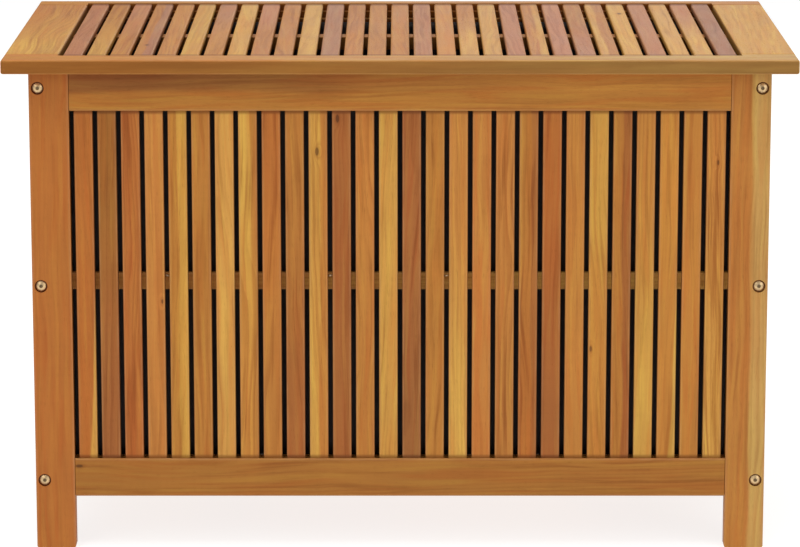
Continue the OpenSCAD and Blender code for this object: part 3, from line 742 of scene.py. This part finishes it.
def roundedPath(width, depth, radius, count):
    # evenly spaced points around a rounded rectangle: place, outward normal and run
    straights = (width - 2 * radius, depth - 2 * radius)
    quarter = math.pi * radius / 2
    total = 2 * sum(straights) + 4 * quarter
    legs = []
    heading, x, y = 0.0, -straights[0] / 2, -depth / 2
    for leg in range(4):
        span = straights[leg % 2]
        legs.append(("line", span, x, y, heading))
        x += math.cos(heading) * span
        y += math.sin(heading) * span
        centreX, centreY = x - math.sin(heading) * radius, y + math.cos(heading) * radius
        legs.append(("arc", quarter, centreX, centreY, heading))
        heading += math.pi / 2
        x, y = centreX + math.sin(heading) * radius, centreY - math.cos(heading) * radius
    points = []
    for i in range(count):
        left = total * i / count
        for kind, span, x, y, heading in legs:
            if left <= span:
                break
            left -= span
        turn = heading if kind == "line" else heading + left / radius
        outX, outY = math.sin(turn), -math.cos(turn)
        if kind == "line":
            spot = (x + math.cos(heading) * left, y + math.sin(heading) * left)
        else:
            spot = (x + outX * radius, y + outY * radius)
        points.append((*spot, outX, outY, total * i / count))
    return points, total


def hump(distance, width):
    # 1 on a fold or crease, and falling away on both sides of it
    return math.exp(-(distance / width) ** 2)


def makeLiner():
    look = linerLook
    low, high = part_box("liner")
    width, depth, tall = (high[i] - low[i] for i in range(3))
    midX, midY = (low[0] + high[0]) / 2, (low[1] + high[1]) / 2
    draw = random.Random(look["seed"])
    path, total = roundedPath(width, depth, look["cornerRadius"], look["around"])
    folds = [(draw.uniform(0, total), draw.uniform(*look["foldWidth"]),
              draw.uniform(*look["foldDepth"]) * look["belly"], draw.uniform(*look["foldSlant"]),
              draw.uniform(*look["foldStart"])) for _ in range(look["folds"])]
    verts, cloth = [], []
    for row in range(look["up"] + 1):
        share = row / look["up"]
        z = high[2] - tall * share
        for x, y, outX, outY, run in path:
            # walls belly inward below the tape, with slanting folds and packing creases
            bulge = math.sin(math.pi * min(1.0, share * look["bellyTurn"])) * look["bellyMiddle"]
            inward = look["belly"] * (bulge + look["bellyFoot"] * share)
            for centre, wide, deep, slant, start in folds:
                gap = (run - centre - slant * share * tall + total / 2) % total - total / 2
                if abs(gap) < wide * look["foldReach"]:
                    fade = hump(share - start, look["foldFade"]) * min(1.0, share * look["foldBelowTape"])
                    inward += deep * fade * hump(gap, wide)
            for crease in look["wallCreases"]:
                inward += look["wallCreaseHigh"] * hump((share - crease) * tall, look["creaseWidth"])
            rippleAt = Vector((x, y, z)) * look["wallRippleScale"]
            inward += look["wallRipple"] * (noise.noise(rippleAt) + 1)
            toCorner = math.hypot(width / 2 - abs(x), depth / 2 - abs(y))
            nearCorner = max(0.0, 1 - toCorner / look["cornerReach"])
            drop = look["droop"] * nearCorner * (1 - share) ** 2
            inward += look["cornerInward"] * nearCorner * (1 - share) ** 3
            settle = max(0.0, 1 - (z - low[2]) / look["floorRound"])
            inward += look["floorRound"] * (1 - math.sqrt(max(0.0, 1 - settle * settle)))
            inward = max(inward, look["clearWall"])
            lowest = low[2] + look["clearFloor"]
            verts.append((midX + x - outX * inward, midY + y - outY * inward, max(z - drop, lowest)))
            cloth.append((run, high[2] - z, 0.0))
    # floor of the bag, in rings that close on the middle line
    count = len(path)
    spine = width / 2 - depth / 2
    (creaseX, highX), (creaseY, highY) = look["floorCreaseX"], look["floorCreaseY"]
    for ring in range(1, look["floorRings"] + 1):
        share = ring / (look["floorRings"] + look["middleGap"])
        for x, y, z in verts[look["up"] * count:(look["up"] + 1) * count]:
            towardX = max(-spine, min(spine, x - midX)) + midX
            floorX, floorY = x + (towardX - x) * share, y + (midY - y) * share
            scale = look["floorRippleScale"]
            ripple = noise.noise(Vector((floorX * scale, floorY * scale, 3.0))) + look["floorRippleLift"]
            rise = look["floorLift"] + look["floorRipple"] * ripple * min(1.0, ring / 2)
            rise += highX * hump(floorX - creaseX, look["creaseWidth"])
            rise += highY * hump(floorY - creaseY, look["creaseWidth"])
            verts.append((floorX, floorY, low[2] + max(rise, look["clearFloor"])))
            cloth.append((floorX, 1.0 + floorY, 0.0))
    rows = look["up"] + 1 + look["floorRings"]
    faces = []
    for start in range(0, (rows - 1) * count, count):
        for i in range(count):
            following = (i + 1) % count
            faces.append((start + i, start + count + i, start + count + following, start + following))
    faces.append(tuple((rows - 1) * count + i for i in range(count)))
    mesh = bpy.data.meshes.new("linerBag")
    mesh.from_pydata(verts, [], faces)
    mesh.shade_smooth()
    setAttribute(mesh, "clothAt", "FLOAT_VECTOR", cloth)
    bag = bpy.data.objects.new("linerBag", mesh)
    bpy.context.collection.objects.link(bag)
    wear(bag, coatedCloth("linerCloth", "21100a", pitch=0.0011, roughness=0.6, hem=look["hem"]))
    thick = bag.modifiers.new("cloth", "SOLIDIFY")
    thick.thickness = look["cloth"]
    thick.offset = -1.0
    return bag, (width, depth, tall)


bag, (bagWidth, bagDepth, bagTall) = makeLiner()
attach(bag, "carcass")
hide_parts("liner")
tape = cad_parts["liner_tape"]
tapeAt = [(v.co.x + v.co.y, v.co.z, 0.0) for v in tape.data.vertices]
setAttribute(tape.data, "clothAt", "FLOAT_VECTOR", tapeAt)
wear(tape, coatedCloth("hookTape", "130e0c", pitch=0.0022, roughness=0.8))
print("liner hung")


# Staples left in the front batten, seen in three of the gaps between slats
stapleLook = {
    "gaps": (3, 10, 15),
    "wire": 0.0009,
    "crown": 0.0042,
    "stand": 0.0011,                    # how far the crown stands off the batten
    "belowTop": 0.0035,
    "leg": 0.004,                       # how deep the legs are driven
    "tilt": 0.25,                       # radians either way
    "shoulder": (0.86, 0.4),            # of half the crown, and of its stand
    "bow": 1.1,                         # of the stand, at the crown's middle
    "seed": 21,
}


def makeStaples():
    look = stapleLook
    islands, places = islandsOf(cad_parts["front_slats"].data)
    battenLow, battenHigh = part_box("front_batten")
    draw = random.Random(look["seed"])
    curve = bpy.data.curves.new("battenStaples", "CURVE")
    curve.dimensions = "3D"
    curve.bevel_depth = look["wire"]
    curve.bevel_resolution = 3
    curve.use_fill_caps = True
    half, stand, leg = look["crown"] / 2, look["stand"], look["leg"]
    shoulder, neck = half * look["shoulder"][0], stand * look["shoulder"][1]
    outline = [(-half, leg), (-half, -neck), (-shoulder, -stand), (0.0, -stand * look["bow"]),
               (shoulder, -stand), (half, -neck), (half, leg)]
    for gap in look["gaps"]:
        x = (places[islands[gap], 0].max() + places[islands[gap + 1], 0].min()) / 2
        y, z = battenLow[1], battenHigh[2] - look["belowTop"]
        tilt = draw.uniform(-look["tilt"], look["tilt"])
        wire = curve.splines.new("POLY")
        wire.points.add(len(outline) - 1)
        for point, (across, out) in zip(wire.points, outline):
            point.co = (x + across * math.cos(tilt), y + out, z + across * math.sin(tilt), 1.0)
    staples = bpy.data.objects.new("battenStaples", curve)
    bpy.context.collection.objects.link(staples)
    curve.materials.append(stapleWire)
    return staples


staples = makeStaples()
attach(staples, "carcass")
print("staples set")


studio = {
    "floorSize": 14.0,
    "backdrop": 1.0,            # the air as the camera sees it
    "air": 0.50,                # the air as a light
    "floorGlow": 0.80,
    "floorTones": (linear("9f9f9e"), linear("969593")),
    "floorMottle": 0.3,
    "lights": {
        "topLight": {"at": (-0.2, -0.9, 3.3), "aim": (0, 0, 0.5), "size": 2.4, "power": 64},
        "keyLight": {"at": (-2.2, -3.0, 2.4), "aim": (0, 0, 0.3), "size": 2.0, "power": 24},
        "fillLight": {"at": (2.6, -2.8, 1.6), "aim": (0, 0, 0.3), "size": 2.0, "power": 20},
        "backLight": {"at": (0.6, 3.4, 1.8), "aim": (0, 0, 0.3), "size": 2.2, "power": 24},
    },
}


def studioPaper():
    f = Finish("studioPaper")
    at = f.node("TexCoord", {}, {}, "Object")
    mottle = f.noise(at * (3.0, 3.0, 3.0), 3.0) * studio["floorMottle"]
    return f.surface({"Base Color": f.mix(mottle, *studio["floorTones"]), "Roughness": 0.9,
                      "Emission Color": (1.0, 1.0, 1.0), "Emission Strength": studio["floorGlow"],
                      "Specular IOR Level": 0.1})


bpy.ops.mesh.primitive_plane_add(size=studio["floorSize"], location=(0, 0, 0))
ground = bpy.context.object
ground.name = "studioFloor"
wear(ground, studioPaper())

air = Finish("studioAir", "worlds")
seen = air.node("LightPath", {}, {}, "Is Camera Ray")
strength = studio["air"] + seen * (studio["backdrop"] - studio["air"])
glow = air.node("Background", {}, {"Color": (1.0, 1.0, 1.0), "Strength": strength})
air.node("OutputWorld", {}, {"Surface": glow})
bpy.context.scene.world = air.owner

for name, lamp in studio["lights"].items():
    light = bpy.data.lights.new(name, "AREA")
    light.energy = lamp["power"]
    light.size = lamp["size"]
    holder = bpy.data.objects.new(name, light)
    bpy.context.collection.objects.link(holder)
    holder.location = lamp["at"]
    holder.rotation_euler = (Vector(lamp["aim"]) - Vector(lamp["at"])).to_track_quat("-Z", "Y").to_euler()

view = {
    "lens": 172.5,
    "sensor": 36.0,
    "distance": 4.2695,         # from the front of the box
    "height": 1.2185,
    "tilt": 0.2051,             # radians below level
    "farthest": 60.0,
}

camera = bpy.data.cameras.new("viewCamera")
camera.lens = view["lens"]
camera.sensor_width = view["sensor"]
camera.clip_end = view["farthest"]
eye = bpy.data.objects.new("viewCamera", camera)
bpy.context.collection.objects.link(eye)
eye.location = (0.0, cadBox[0][1] - view["distance"], view["height"])
eye.rotation_euler = (math.pi / 2 - view["tilt"], 0.0, 0.0)
bpy.context.scene.camera = eye
bpy.context.scene.view_settings.view_transform = "Standard"
print("studio set")
